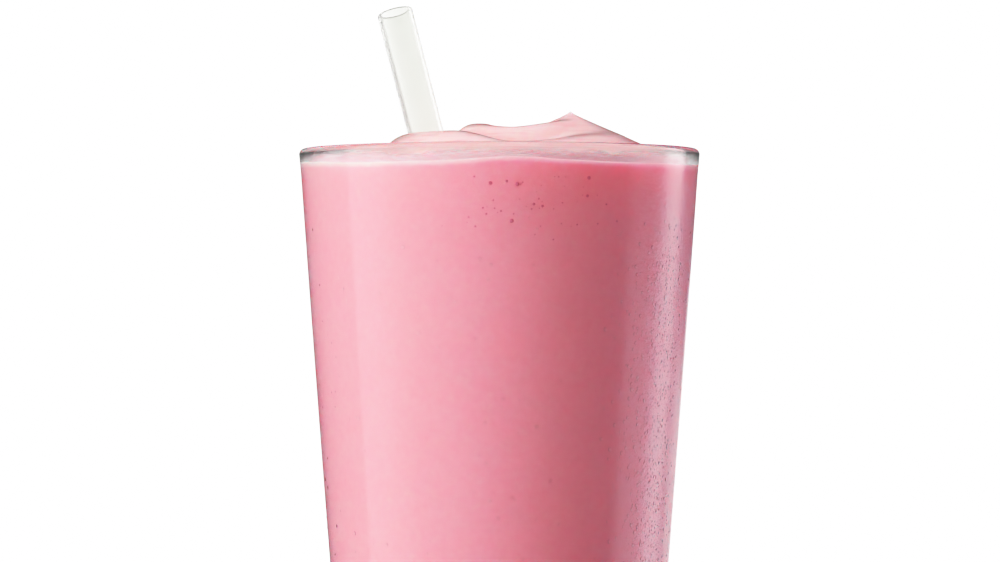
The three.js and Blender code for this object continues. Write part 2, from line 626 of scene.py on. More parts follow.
@dataclass(frozen=True)
class PaintedBubbleShade(Finish):
    """Painted shade for a bubble pressed against the glass: a bead of deeper pink, standing for the shade
    in the hollow, that fades to the shake's pink at its edge.
    """

    # Painted shade: the deep pink middle stands for the shade inside the hollow, and the rim colour is the
    # shake's own pink.
    colour: str = "#d38c9e"
    edge: str = "#f2adb9"
    shade_facing: tuple[float, float] = (0.05, 0.75)
    roughness: float = 0.4
    glow: float = 0.3
    scatter: tuple[float, float, float] = (1.0, 0.3, 0.3)
    scatter_depth: float = 0.5

    def shader(self, add: AddNode) -> Any:
        """Build the bead's painted shade.

        Args:
            add: Adds a node to the material's tree.

        Returns:
            The shader's output socket.
        """
        facing = add("ShaderNodeLayerWeight")["Facing"]
        middle, rim = self.shade_facing
        share = add(
            "ShaderNodeMapRange",
            {"Value": facing, "From Min": middle, "From Max": rim},
            interpolation_type="SMOOTHSTEP",
        )
        shaded = add(
            "ShaderNodeMix",
            {"Factor": share[0], MIX_UNDER: linear(self.colour), MIX_OVER: linear(self.edge)},
            data_type="RGBA",
        )
        hollow = add(
            "ShaderNodeBsdfPrincipled",
            {
                "Base Color": shaded[MIX_RESULT],
                "Roughness": self.roughness,
                "Subsurface Weight": self.glow,
                "Subsurface Radius": self.scatter,
                "Subsurface Scale": self.scatter_depth * MM,
            },
        )
        return hollow[0]


@dataclass(frozen=True)
class PaleFloor(Finish):
    """Matt white paint that fades into the backdrop far off, and throws little light upwards."""

    colour: str = "#f4f3f1"
    bounce: str = "#b4b3b2"
    fade_start: float = 500.0
    fade_end: float = 1600.0

    def shader(self, add: AddNode) -> Any:
        """Build the paint, its fade and the dimmer paint that lights other things.

        Args:
            add: Adds a node to the material's tree.

        Returns:
            The shader's output socket.
        """
        paint = add("ShaderNodeBsdfDiffuse", {"Color": linear(self.colour)})
        dim = add("ShaderNodeBsdfDiffuse", {"Color": linear(self.bounce)})
        glow = add("ShaderNodeEmission", {"Color": linear("#ffffff"), "Strength": 1.0})
        place = add("ShaderNodeTexCoord")["Object"]
        away = add("ShaderNodeVectorMath", {0: place}, operation="LENGTH")
        fade = add(
            "ShaderNodeMapRange",
            {"Value": away["Value"], "From Min": self.fade_start * MM, "From Max": self.fade_end * MM},
            interpolation_type="SMOOTHSTEP",
        )
        faded = add("ShaderNodeMixShader", {0: fade[0], 1: paint[0], 2: glow[0]})
        paths = add("ShaderNodeLightPath")
        lit = add("ShaderNodeMixShader", {0: paths[Ray.CAMERA.value], 1: dim[0], 2: faded[0]})
        return lit[0]


@dataclass(frozen=True)
class LitCloth(Finish):
    """White diffuser cloth lit from behind, even or fading out towards its sides."""

    strength: float = 1.0
    half_width: float = 1.0
    fade_left: float = 0.0
    fade_right: float = 0.0

    def shader(self, add: AddNode) -> Any:
        """Build the glow and its fades across the cloth.

        Args:
            add: Adds a node to the material's tree.

        Returns:
            The shader's output socket.
        """
        place = add("ShaderNodeTexCoord")["Object"]
        across = add("ShaderNodeSeparateXYZ", {0: place})["X"]
        strength: Any = self.strength
        for fade, edge in ((self.fade_left, -self.half_width), (self.fade_right, self.half_width)):
            if fade > 0:
                faded = add(
                    "ShaderNodeMapRange",
                    {"Value": across, "From Min": edge, "From Max": edge - math.copysign(fade, edge)},
                    interpolation_type="SMOOTHSTEP",
                )
                product = add("ShaderNodeMath", {0: strength, 1: faded[0]}, operation="MULTIPLY")
                strength = product[0]
        glow = add("ShaderNodeEmission", {"Color": linear("#ffffff"), "Strength": strength})
        clear = add("ShaderNodeBsdfTransparent")
        sheer = add("ShaderNodeAddShader", {0: glow[0], 1: clear[0]})
        return sheer[0]


@dataclass(frozen=True)
class BlackFelt(Finish):
    """Black felt that swallows the light, as on the cards that give glass its dark edges."""

    colour: str = "#262221"

    def shader(self, add: AddNode) -> Any:
        """Build the felt and return its output socket."""
        return add("ShaderNodeBsdfDiffuse", {"Color": linear(self.colour)})[0]


# Geometry Nodes


class NodeShape:
    """A Geometry Nodes tree that makes one plain mesh from an object's own mesh and named inputs."""

    def __init__(self, name: str) -> None:
        """Start a tree with a geometry input, a material input and a geometry output.

        Args:
            name: Name of the tree.
        """
        self.tree = bpy.data.node_groups.new(name, "GeometryNodeTree")
        self.socket("Geometry", "NodeSocketGeometry")
        self.tree.interface.new_socket("Geometry", in_out="OUTPUT", socket_type="NodeSocketGeometry")
        self.socket("Material", "NodeSocketMaterial")

    def socket(self, name: str, kind: str) -> None:
        """Add an input by its name and its socket type."""
        self.tree.interface.new_socket(name, in_out="INPUT", socket_type=kind)

    def start(self) -> Any:
        """Add the input node once all inputs are named, and return its outputs."""
        return add_node(self.tree, "NodeGroupInput")

    def add(self, kind: str, inputs: dict[Any, Any] | None = None, **settings: Any) -> Any:
        """Add a node to the tree, as add_node does, and return its output sockets."""
        return add_node(self.tree, kind, inputs, **settings)

    def end(self, geometry: Any, material: Any) -> None:
        """Realize the instances, shade smooth, set the material and finish the tree.

        Args:
            geometry: Output socket of what the tree has made.
            material: Output socket that gives the material.
        """
        real = self.add("GeometryNodeRealizeInstances", {0: geometry})
        smooth = self.add("GeometryNodeSetShadeSmooth", {0: real[0]})
        painted = self.add("GeometryNodeSetMaterial", {0: smooth[0], "Material": material})
        self.add("NodeGroupOutput", {0: painted[0]})

    def apply(self, target: Any, values: dict[str, Any]) -> None:
        """Run the tree on an object and keep the result as its plain mesh.

        Args:
            target: The object whose mesh the tree reads, and that gets the result.
            values: The inputs by name.
        """
        modifier = target.modifiers.new(self.tree.name, "NODES")
        modifier.node_group = self.tree
        for item in self.tree.interface.items_tree:
            if item.in_out == "INPUT" and item.name in values:
                modifier[item.identifier] = values[item.name]
        keep_result(target, modifier)


def turned_shape() -> NodeShape:
    """Make the tree that turns a profile about +Z and then leans it.

    The object's mesh holds the profile's points in order, radius in X and height in Z.

    Returns:
        The tree, with inputs Segments, Foot and Direction.
    """
    shape = NodeShape("turned about an axis")
    shape.socket("Segments", "NodeSocketInt")
    shape.socket("Foot", "NodeSocketVector")
    shape.socket("Direction", "NodeSocketVector")
    given = shape.start()
    rows = shape.add("GeometryNodeAttributeDomainSize", {0: given["Geometry"]}, component="MESH")
    columns = shape.add("ShaderNodeMath", {0: given["Segments"], 1: 1.0}, operation="ADD")[0]
    grid = shape.add("GeometryNodeMeshGrid", {"Vertices X": rows["Point Count"], "Vertices Y": columns})
    index = shape.add("GeometryNodeInputIndex")[0]
    middle = shape.add("ShaderNodeMath", {0: index, 1: 0.5}, operation="ADD")
    rows_before = shape.add("ShaderNodeMath", {0: middle[0], 1: columns}, operation="DIVIDE")
    row = shape.add("ShaderNodeMath", {0: rows_before[0]}, operation="FLOOR")[0]
    row_start = shape.add("ShaderNodeMath", {0: row, 1: columns}, operation="MULTIPLY")
    column = shape.add("ShaderNodeMath", {0: index, 1: row_start[0]}, operation="SUBTRACT")
    round_share = shape.add("ShaderNodeMath", {0: column[0], 1: given["Segments"]}, operation="DIVIDE")
    turn = shape.add("ShaderNodeMath", {0: round_share[0], 1: 2 * math.pi}, operation="MULTIPLY")[0]
    profile = shape.add(
        "GeometryNodeSampleIndex",
        {"Geometry": given["Geometry"], "Value": shape.add("GeometryNodeInputPosition")[0], "Index": row},
        data_type="FLOAT_VECTOR",
    )
    round_axis = shape.add(
        "ShaderNodeVectorRotate", {"Vector": profile[0], "Angle": turn}, rotation_type="Z_AXIS"
    )
    placed = shape.add("GeometryNodeSetPosition", {"Geometry": grid["Mesh"], "Position": round_axis[0]})
    outwards = shape.add("GeometryNodeFlipFaces", {0: placed[0]})
    closed = shape.add("GeometryNodeMergeByDistance", {0: outwards[0], "Distance": WELD * MM})
    lean = shape.add("FunctionNodeAlignRotationToVector", {"Vector": given["Direction"]}, axis="Z")
    leaned = shape.add(
        "GeometryNodeTransform",
        {"Geometry": closed[0], "Translation": given["Foot"], "Rotation": lean[0]},
    )
    shape.end(leaned[0], given["Material"])
    return shape


def turned_object(name: str, section: np.ndarray, segments: int, values: dict[str, Any]) -> Any:
    """Make a round object from its section.

    Args:
        name: Name of the object.
        section: One row of radius and height a point, in millimetres.
        segments: Number of flat strips round the axis.
        values: The tree's other inputs by name.

    Returns:
        The object.
    """
    points = np.column_stack((section[:, 0], np.zeros(len(section)), section[:, 1]))
    made = mesh_object(name, points, [])
    turned_shape().apply(made, {"Segments": segments, **values})
    return made


def scattered_shape() -> NodeShape:
    """Make the tree that scatters low domes over a surface, by a fixed seed.

    The object's mesh is the surface, whose density attribute thins the domes out. Flatness is a
    dome's height over its radius.

    Returns:
        The tree, with inputs Density, Closest, Smallest, Largest, Flatness and Seed.
    """
    shape = NodeShape("beads on a surface")
    for name in ("Density", "Closest", "Smallest", "Largest", "Flatness"):
        shape.socket(name, "NodeSocketFloat")
    shape.socket("Seed", "NodeSocketInt")
    given = shape.start()
    wanted = shape.add("GeometryNodeInputNamedAttribute", {"Name": Mark.DENSITY.value}, data_type="FLOAT")
    points = shape.add(
        "GeometryNodeDistributePointsOnFaces",
        {
            "Mesh": given["Geometry"],
            "Distance Min": given["Closest"],
            "Density Max": given["Density"],
            "Density Factor": wanted["Attribute"],
            "Seed": given["Seed"],
        },
        distribute_method="POISSON",
    )
    draw = shape.add("FunctionNodeRandomValue", {"Seed": given["Seed"]}, data_type="FLOAT")
    skewed = shape.add("ShaderNodeMath", {0: draw[1], 1: MOSTLY_SMALL}, operation="POWER")
    size = shape.add(
        "ShaderNodeMapRange",
        {"Value": skewed[0], "To Min": given["Smallest"], "To Max": given["Largest"]},
    )
    ball = shape.add("GeometryNodeMeshIcoSphere", {"Radius": 1.0, "Subdivisions": DROP_DETAIL})
    place = shape.add("ShaderNodeSeparateXYZ", {0: shape.add("GeometryNodeInputPosition")[0]})
    above = shape.add("ShaderNodeMath", {0: place["Z"], 1: 0.0}, operation="MAXIMUM")
    domed = shape.add("ShaderNodeMath", {0: above[0], 1: DOME_POWER}, operation="POWER")
    height = shape.add("ShaderNodeMath", {0: domed[0], 1: given["Flatness"]}, operation="MULTIPLY")
    low = shape.add("ShaderNodeCombineXYZ", {0: place["X"], 1: place["Y"], 2: height[0]})
    dome = shape.add("GeometryNodeSetPosition", {"Geometry": ball["Mesh"], "Position": low[0]})
    beads = shape.add(
        "GeometryNodeInstanceOnPoints",
        {
            "Points": points["Points"],
            "Instance": dome[0],
            "Rotation": points["Rotation"],
            "Scale": size[0],
        },
    )
    shape.end(beads[0], given["Material"])
    return shape


def placed_shape() -> NodeShape:
    """Make the tree that sets a flattened bead on each point of a mesh, facing away from the axis.

    The mesh's size attribute holds each bead's radius.

    Returns:
        The tree, with the input Flatness.
    """
    shape = NodeShape("beads on points")
    shape.socket("Flatness", "NodeSocketFloat")
    given = shape.start()
    place = shape.add("GeometryNodeInputPosition")[0]
    level = shape.add("ShaderNodeVectorMath", {0: place, 1: (1.0, 1.0, 0.0)}, operation="MULTIPLY")
    facing = shape.add("FunctionNodeAlignRotationToVector", {"Vector": level[0]}, axis="Z")
    size = shape.add("GeometryNodeInputNamedAttribute", {"Name": Mark.SIZE.value}, data_type="FLOAT")
    flat = shape.add("ShaderNodeCombineXYZ", {0: 1.0, 1: 1.0, 2: given["Flatness"]})
    scale = shape.add("ShaderNodeVectorMath", {0: flat[0], 1: size["Attribute"]}, operation="MULTIPLY")
    bead = shape.add("GeometryNodeMeshIcoSphere", {"Radius": 1.0, "Subdivisions": BUBBLE_DETAIL})
    beads = shape.add(
        "GeometryNodeInstanceOnPoints",
        {"Points": given["Geometry"], "Instance": bead["Mesh"], "Rotation": facing[0], "Scale": scale[0]},
    )
    shape.end(beads[0], given["Material"])
    return shape


# The drink


@dataclass(frozen=True)
class Tumbler:
    """The glass: a thick-based tumbler with a slightly bowed, tapering wall and a full-round lip."""

    height: float = 156.0
    rim_radius: float = 44.2
    taper: float = 0.0708
    bow: float = 4.8e-5
    wall_at_rim: float = 2.3
    wall_at_base: float = 2.8
    lip_radius: float = 1.25
    lip_bead: float = 0.1
    lip_blend: float = 4.0
    base_thickness: float = 11.0
    heel_radius: float = 4.0
    floor_fillet: float = 8.0
    flat_share: float = 0.98
    segments: int = 256
    wall_steps: int = 24
    arc_steps: int = 14
    finish: Finish = MistedGlass("misted soda-lime glass")

    def outer(self, z: Any) -> Any:
        """Return the wall's outer radius at a height."""
        depth = self.height - z
        return self.rim_radius - self.taper * depth - self.bow * depth * depth

    def inner(self, z: Any) -> Any:
        """Return the wall's inner radius at a height."""
        share = z / self.height
        return self.outer(z) - self.wall_at_base * (1 - share) - self.wall_at_rim * share

    @property
    def lip_centre(self) -> tuple[float, float]:
        """Distance from the axis and height of the middle of the lip's round."""
        height = self.height - self.lip_radius
        return self.outer(height) + self.lip_bead - self.lip_radius, height

    @property
    def fillet_centre(self) -> tuple[float, float]:
        """Distance from the axis and height of the middle of the inner floor's round edge."""
        height = self.base_thickness + self.floor_fillet
        return self.inner(height) - self.floor_fillet, height

    def wall(self, radius_at: Callable[[Any], Any], start: float, end: float) -> np.ndarray:
        """Place profile points along a wall, ends left out.

        Args:
            radius_at: Gives the wall's radius at a height.
            start: Height where the wall starts.
            end: Height where it ends.

        Returns:
            One row of radius and height a point.
        """
        heights = np.linspace(start, end, self.wall_steps + 2)[1:-1]
        return np.column_stack((radius_at(heights), heights))

    def profile(self) -> np.ndarray:
        """Draw the section from the middle of the underside, over the lip, to the inner floor.

        Returns:
            One row of radius and height a point.
        """
        blend = self.lip_centre[1] - self.lip_blend
        heel_centre = self.outer(self.heel_radius) - self.heel_radius
        fillet_centre, fillet_height = self.fillet_centre
        return np.vstack(
            (
                [[0.0, 0.0], [heel_centre * self.flat_share, 0.0]],
                arc((heel_centre, self.heel_radius), self.heel_radius, -90, 0, self.arc_steps),
                self.wall(self.outer, self.heel_radius, blend),
                [[self.outer(blend), blend]],
                arc(self.lip_centre, self.lip_radius, 0, 180, 2 * self.arc_steps),
                [[self.inner(blend), blend]],
                self.wall(self.inner, blend, fillet_height),
                arc(self.fillet_centre, self.floor_fillet, 0, -90, self.arc_steps),
                [[fillet_centre * self.flat_share, self.base_thickness], [0.0, self.base_thickness]],
            )
        )

    def build(self) -> Any:
        """Make the glass and stand it for the model's own.

        Returns:
            The glass.
        """
        values = {"Direction": (0.0, 0.0, 1.0), "Material": self.finish.material()}
        made = turned_object("glass_tumbler", self.profile(), self.segments, values)
        return stand_for(made, Node.GLASS)


@dataclass(frozen=True)
class Straw:
    """The clear tube that leans to the left and away from the viewer."""

    radius: float = 4.0
    wall: float = 0.8
    edge: float = 0.2
    straight_from: float = 0.4
    foot: tuple[float, float, float] = (20.8, -7.0, 15.2)
    tip: tuple[float, float, float] = (-23.6, 32.5, 188.1)
    segments: int = 96
    arc_steps: int = 4
    finish: Finish = ClearPlastic("clear polypropylene")

    @property
    def axis(self) -> Vector:
        """The straw's direction, from its foot to its tip."""
        return (Vector(self.tip) - Vector(self.foot)).normalized()

    @property
    def length(self) -> float:
        """The straw's length."""
        return (Vector(self.tip) - Vector(self.foot)).length

    def profile(self, inner: float, outer: float, start: float, end: float) -> np.ndarray:
        """Draw the closed section of an upright tube with rounded ends.

        Args:
            inner: Inside radius.
            outer: Outside radius.
            start: Height of the lower end.
            end: Height of the upper end.

        Returns:
            One row of radius and height a point.
        """
        edge = self.edge
        low, high = start + edge + self.straight_from, end - edge - self.straight_from
        corners = (
            arc((inner + edge, start + edge), edge, 180, 270, self.arc_steps),
            arc((outer - edge, start + edge), edge, 270, 360, self.arc_steps),
            [[outer, low], [outer, high]],
            arc((outer - edge, end - edge), edge, 0, 90, self.arc_steps),
            arc((inner + edge, end - edge), edge, 90, 180, self.arc_steps),
            [[inner, high], [inner, low], [inner, start + edge]],
        )
        return np.vstack(corners)

    def tube(self, name: str, grow: float, finish: Finish | None) -> Any:
        """Make the straw's wall, or a thicker one, where the straw stands.

        Args:
            name: Name of the object.
            grow: How much is added on every side.
            finish: The finish, or None for a shape that only cuts.

        Returns:
            The tube.
        """
        inner, outer = self.radius - self.wall - grow, self.radius + grow
        section = self.profile(inner, outer, -grow, self.length + grow)
        values = {"Direction": tuple(self.axis), "Foot": tuple(Vector(self.foot) * MM)}
        if finish is not None:
            values["Material"] = finish.material()
        return turned_object(name, section, self.segments, values)

    def build(self) -> Any:
        """Make the straw and stand it for the model's own."""
        return stand_for(self.tube("straw_tube", 0.0, self.finish), Node.STRAW)


@dataclass(frozen=True)
class Rise:
    """A soft bump in the shake's edge round a direction in radians."""

    at: float
    width: float
    height: float

    def at_angle(self, angle: np.ndarray) -> np.ndarray:
        """Return the bump's height in some directions."""
        away = np.arctan2(np.sin(angle - self.at), np.cos(angle - self.at))
        return self.height * np.exp(-((away / self.width) ** 2))


@dataclass(frozen=True)
class Wave:
    """A ripple that runs round the shake's edge a whole number of times."""

    count: int
    phase: float
    height: float

    def at_angle(self, angle: np.ndarray) -> np.ndarray:
        """Return the ripple's height in some directions."""
        return self.height * np.sin(self.count * angle + self.phase)


@dataclass(frozen=True)
class Turn:
    """The swirl's rope at one turn angle: distance from the swirl's centre, crest and half width."""

    turn: float
    radius: float
    crest: float
    half: float


@dataclass(frozen=True)
class Shake:
    """The milkshake: it fills the glass to under the lip and is heaped in a soft swirl."""

    glass: Tumbler
    straw: Straw
    bite: float = 0.15
    straw_gap: float = 0.04
    fill_height: float = 152.05
    ripples: tuple[Rise | Wave, ...] = (
        Rise(-1.53, 0.22, 0.85),
        Rise(math.pi, 0.4, 1.2),
        Wave(5, 2.0, 0.08),
        Wave(9, 0.5, 0.07),
    )
    trough_inset: float = 3.0
    trough_width: float = 2.0
    trough_depth: float = 0.35
    shoulder_inset: float = 2.0
    shoulder_run: float = 13.0
    shoulder_height: float = 3.0
    swirl_centre: tuple[float, float] = (3.0, 1.5)
    swirl: tuple[Turn, ...] = (
        Turn(60, 23.0, 157.0, 5.0),
        Turn(165, 20.8, 159.6, 8.8),
        Turn(225, 19.5, 159.6, 7.8),
        Turn(270, 21.5, 156.9, 7.0),
        Turn(350, 20.0, 159.4, 8.0),
        Turn(430, 15.0, 160.2, 7.6),
        Turn(480, 9.5, 161.5, 7.8),
        Turn(540, 7.4, 161.7, 6.6),
        Turn(630, 9.5, 160.6, 6.2),
        Turn(715, 12.8, 162.4, 4.2),
    )
    swirl_step: float = 1.5
    rope_drop: float = 4.6
    rope_power: float = 2.8
    crease_softness: float = 0.5
    peak: tuple[float, float, float] = (15.7, 1.2, 164.5)
    peak_slope: float = 0.44
    nib_height: float = 0.45
    nib_reach: float = 0.6
    peak_softness: float = 0.3
    # The film at the shake's edge is a real thin film whose share is raised as a painted highlight on the
    # side facing the key light at the left, with a painted tail down the wall on that side only.
    film_width: float = 1.0
    film_solid: float = 0.4
    film_inwards: float = 0.35
    film_faint: float = 0.4
    film_highlight_tail: float = 0.25
    film_highlight_tail_depth: float = 3.5
    film_highlight_azimuth: float = -70.0
    froth_start: float = -4.0
    froth_run: float = 6.0
    segments: int = 384
    floor_rows: int = 6
    wall_rows: int = 40
    wall_crowding: float = 1.8
    top_rows: int = 150
    finish: Finish = StrawberryShake("strawberry milkshake")

    def edge(self, angle: np.ndarray) -> np.ndarray:
        """Return the height where the shake meets the wall in some directions."""
        return self.fill_height + sum(ripple.at_angle(angle) for ripple in self.ripples)

    def rope(self) -> list[tuple[float, float, float, float]]:
        """Lay the swirl's rope down in short steps.

        Returns:
            The x, y, crest and half width of each of its places.
        """
        places = []
        for a, b in zip(self.swirl, self.swirl[1:]):
            for turn in np.arange(a.turn, b.turn, self.swirl_step):
                share = float(smoothstep(turn, a.turn, b.turn))
                radius = a.radius + (b.radius - a.radius) * share
                places.append(
                    (
                        self.swirl_centre[0] + radius * math.cos(math.radians(turn)),
                        self.swirl_centre[1] + radius * math.sin(math.radians(turn)),
                        a.crest + (b.crest - a.crest) * share,
                        a.half + (b.half - a.half) * share,
                    )
                )
        return places

    def top(self, x: np.ndarray, y: np.ndarray) -> np.ndarray:
        """Work out the height of the shake's top above some points.

        Args:
            x: How far each point is to the viewer's right.
            y: How far each point is to the back.

        Returns:
            The heights.
        """
        edge = self.edge(np.arctan2(y, x))
        inset = self.glass.inner(edge) - np.hypot(x, y)
        trough = self.trough_depth * np.exp(-(((inset - self.trough_inset) / self.trough_width) ** 2))
        shoulder_end = self.shoulder_inset + self.shoulder_run
        shoulder = self.shoulder_height * smoothstep(inset, self.shoulder_inset, shoulder_end)
        swirl = np.full(x.shape, -np.inf)
        for rope_x, rope_y, crest, half in self.rope():
            away = np.hypot(x - rope_x, y - rope_y) / half
            swirl = np.maximum(swirl, crest - self.rope_drop * away**self.rope_power)
        from_peak = np.hypot(x - self.peak[0], y - self.peak[1])
        nib = self.nib_height * (1 - np.exp(-from_peak / self.nib_reach))
        peak = self.peak[2] - nib - self.peak_slope * from_peak
        heap = soft_max(edge - trough + shoulder, swirl, self.crease_softness)
        return soft_max(heap, peak, self.peak_softness)

    def rows(self) -> tuple[np.ndarray, np.ndarray, np.ndarray]:
        """Lay out the skin, ring by ring from the middle of the floor, up the wall and over the top.

        Returns:
            The rings of points, and the share of film and of froth at each point.
        """
        glass = self.glass
        angle = np.linspace(0, 2 * math.pi, self.segments, endpoint=False)
        edge = self.edge(angle)
        fillet_centre, fillet_height = glass.fillet_centre
        fillet_radius = glass.floor_fillet + self.bite
        # Painted highlight: the film is fullest where the edge faces the key light, film_faint of that
        # elsewhere, and its tail shows on the lit side only.
        facing = np.clip(np.cos(angle + math.pi / 2 - math.radians(self.film_highlight_azimuth)), 0, 1) ** 2
        line = self.film_faint + (1 - self.film_faint) * facing
        tail = self.film_highlight_tail * facing
        points, films, froths = [], [], []

        def add(radius: Any, z: Any, film: Any = 0.0, froth: Any = 0.0) -> None:
            """Add one ring of points.

            Args:
                radius: Distance from the axis, the same all round or one a point.
                z: Height.
                film: Share of film.
                froth: Share of froth.
            """
            ring = np.ones(self.segments)
            points.append(np.column_stack((radius * np.cos(angle), radius * np.sin(angle), z * ring)))
            films.append(film * ring)
            froths.append(froth * ring)

        for turn in np.linspace(0, math.pi / 2, self.floor_rows):
            drop = fillet_radius * math.cos(turn)
            add(fillet_centre + fillet_radius * math.sin(turn), fillet_height - drop)
        for share in (np.arange(self.wall_rows) + 1) / self.wall_rows:
            eased = 1 - (1 - share) ** self.wall_crowding
            z = fillet_height + (edge - fillet_height) * eased
            film = line * (1 - smoothstep(edge - z, self.film_solid * self.film_width, self.film_width))
            film = np.maximum(film, tail * np.exp(-(edge - z) / self.film_highlight_tail_depth))
            add(glass.inner(z) + self.bite, z, film)
        outermost = glass.inner(edge) + self.bite
        for share in (np.arange(self.top_rows - 1) + 1) / self.top_rows:
            inset = outermost * share
            radius = outermost - inset
            z = self.top(radius * np.cos(angle), radius * np.sin(angle))
            froth = smoothstep(inset, self.froth_start, self.froth_start + self.froth_run)
            add(radius, z, line * np.exp(-inset / self.film_inwards), froth)
        return np.array(points), np.array(films), np.array(froths)

    def build(self) -> Any:
        """Make the shake, cut it round the straw and stand it for the model's own.

        Returns:
            The shake.
        """
        rings, films, froths = self.rows()
        count = self.segments
        floor_z = rings[0, 0, 2]
        top_z = float(self.top(np.zeros(1), np.zeros(1))[0])
        points = np.vstack(([[0, 0, floor_z]], rings.reshape(-1, 3), [[0, 0, top_z]]))
        after = np.roll(np.arange(count), -1)
        faces = [(0, 1 + b, 1 + a) for a, b in enumerate(after)]
        last = 1 + (len(rings) - 1) * count
        for low in range(1, last, count):
            faces += round_band(low, low + count, count)
        faces += [(last + a, last + b, len(points) - 1) for a, b in enumerate(after)]
        made = mesh_object("shake_body", points, faces)
        set_mark(made, Mark.FILM, np.concatenate(([0.0], films.ravel(), [0.0])))
        set_mark(made, Mark.FROTH, np.concatenate(([0.0], froths.ravel(), [1.0])))
        self.cut_round_straw(made)
        made.data.shade_smooth()
        made.data.materials.clear()
        made.data.materials.append(self.finish.material())
        return stand_for(made, Node.SHAKE)

    def cut_round_straw(self, shake: Any) -> None:
        """Cut the room that the straw's wall takes out of the shake.

        Args:
            shake: The shake's object, whose mesh is replaced.
        """
        sleeve = self.straw.tube("straw_room", self.straw_gap, None)
        cut = shake.modifiers.new("straw room", "BOOLEAN")
        cut.operation = "DIFFERENCE"
        cut.solver = "MANIFOLD"
        cut.object = sleeve
        keep_result(shake, cut)
        bpy.data.meshes.remove(sleeve.data)


@dataclass(frozen=True)
class Smear:
    """The thin, uneven film that the shake leaves on the inside of the glass above its edge."""

    glass: Tumbler
    shake: Shake
    gap: float = 0.03
    thickness: float = 0.1
    overlap: float = 0.3
    reach: float = 2.6
    highest: float = 154.5
    unevenness: tuple[Wave, ...] = (Wave(7, 0.4, 0.22), Wave(17, 1.9, 0.14), Wave(31, 2.6, 0.08))
    segments: int = 384
    rows: int = 8
    finish: Finish = MilkFilm("thin milkshake film")

    def wall(self, z: np.ndarray) -> np.ndarray:
        """Work out the inside radius of the glass near its lip.

        Args:
            z: Some heights.

        Returns:
            The radius at each.
        """
        glass = self.glass
        lip_centre, lip_height = glass.lip_centre
        blend = lip_height - glass.lip_blend
        at_lip = lip_centre - glass.lip_radius
        share = np.clip((z - blend) / glass.lip_blend, 0.0, 1.0)
        return np.where(z > blend, glass.inner(blend) * (1 - share) + at_lip * share, glass.inner(z))

    def build(self) -> Any:
        """Make the film as a closed sheet round the glass.

        Returns:
            The film.
        """
        angle = np.linspace(0, 2 * math.pi, self.segments, endpoint=False)
        low = self.shake.edge(angle) - self.overlap
        rise = self.reach * (1 + sum(wave.at_angle(angle) for wave in self.unevenness))
        high = np.minimum(low + self.overlap + rise, self.highest)
        shares = np.linspace(0, 1, self.rows + 1)
        rings, covers = [], []
        for depth, order in ((self.gap, shares), (self.gap + self.thickness, shares[::-1])):
            for share in order:
                covers += [1 - share] * self.segments
                z = low + (high - low) * share
                radius = self.wall(z) - depth
                rings.append(np.column_stack((radius * np.cos(angle), radius * np.sin(angle), z)))
        faces = []
        for row in range(len(rings)):
            after = (row + 1) % len(rings)
            faces += round_band(row * self.segments, after * self.segments, self.segments)
        made = mesh_object("smear_on_glass", np.vstack(rings), faces)
        set_mark(made, Mark.FILM, np.array(covers))
        made.data.shade_smooth()
        made.data.materials.append(self.finish.material())
        return add_to(made)


@dataclass(frozen=True)
class Bubble:
    """One bubble: degrees from the viewer's side to the right, height, and radius."""

    azimuth: float
    height: float
    radius: float


@dataclass(frozen=True)
class Bubbles:
    """Air trapped between the shake and the glass, drawn as beads of painted shade, a few large bubbles
    among small ones.
    """

    glass: Tumbler
    depth: float
    large: tuple[Bubble, ...] = (
        Bubble(-2.6, 147.1, 0.4),
        Bubble(2.1, 147.5, 0.32),
        Bubble(5.2, 146.9, 0.46),
        Bubble(3.6, 139.0, 0.45),
        Bubble(27.2, 148.4, 0.45),
        Bubble(26.9, 144.5, 0.36),
        Bubble(10.2, 142.6, 0.32),
        Bubble(12.8, 142.2, 0.32),
    )
    small_count: int = 45
    small_radius: tuple[float, float] = (0.1, 0.22)
    small_azimuth: tuple[float, float] = (12.0, 16.0)
    small_height: tuple[float, float] = (143.0, 4.0)
    highest: float = 148.5
    flatness: float = 0.3
    seed: int = 5
    finish: Finish = PaintedBubbleShade("painted bubble shade")

    def build(self) -> Any:
        """Make the bubbles as beads of painted shade, a little proud of the shake's side.

        Returns:
            The bubbles, as one piece.
        """
        draw = np.random.default_rng(self.seed)
        placed = [(b.azimuth, b.height, b.radius) for b in self.large]
        for _ in range(self.small_count):
            height = min(draw.normal(*self.small_height), self.highest)
            placed.append((draw.normal(*self.small_azimuth), height, draw.uniform(*self.small_radius)))
        azimuth, height, radius = np.array(placed).T
        away = self.glass.inner(height) + self.depth
        turn = np.radians(azimuth)
        points = np.column_stack((away * np.sin(turn), -away * np.cos(turn), height))
        made = mesh_object("air_bubbles", points, [])
        set_mark(made, Mark.SIZE, radius * MM)
        placed_shape().apply(made, {"Flatness": self.flatness, "Material": self.finish.material()})
        return add_to(made)


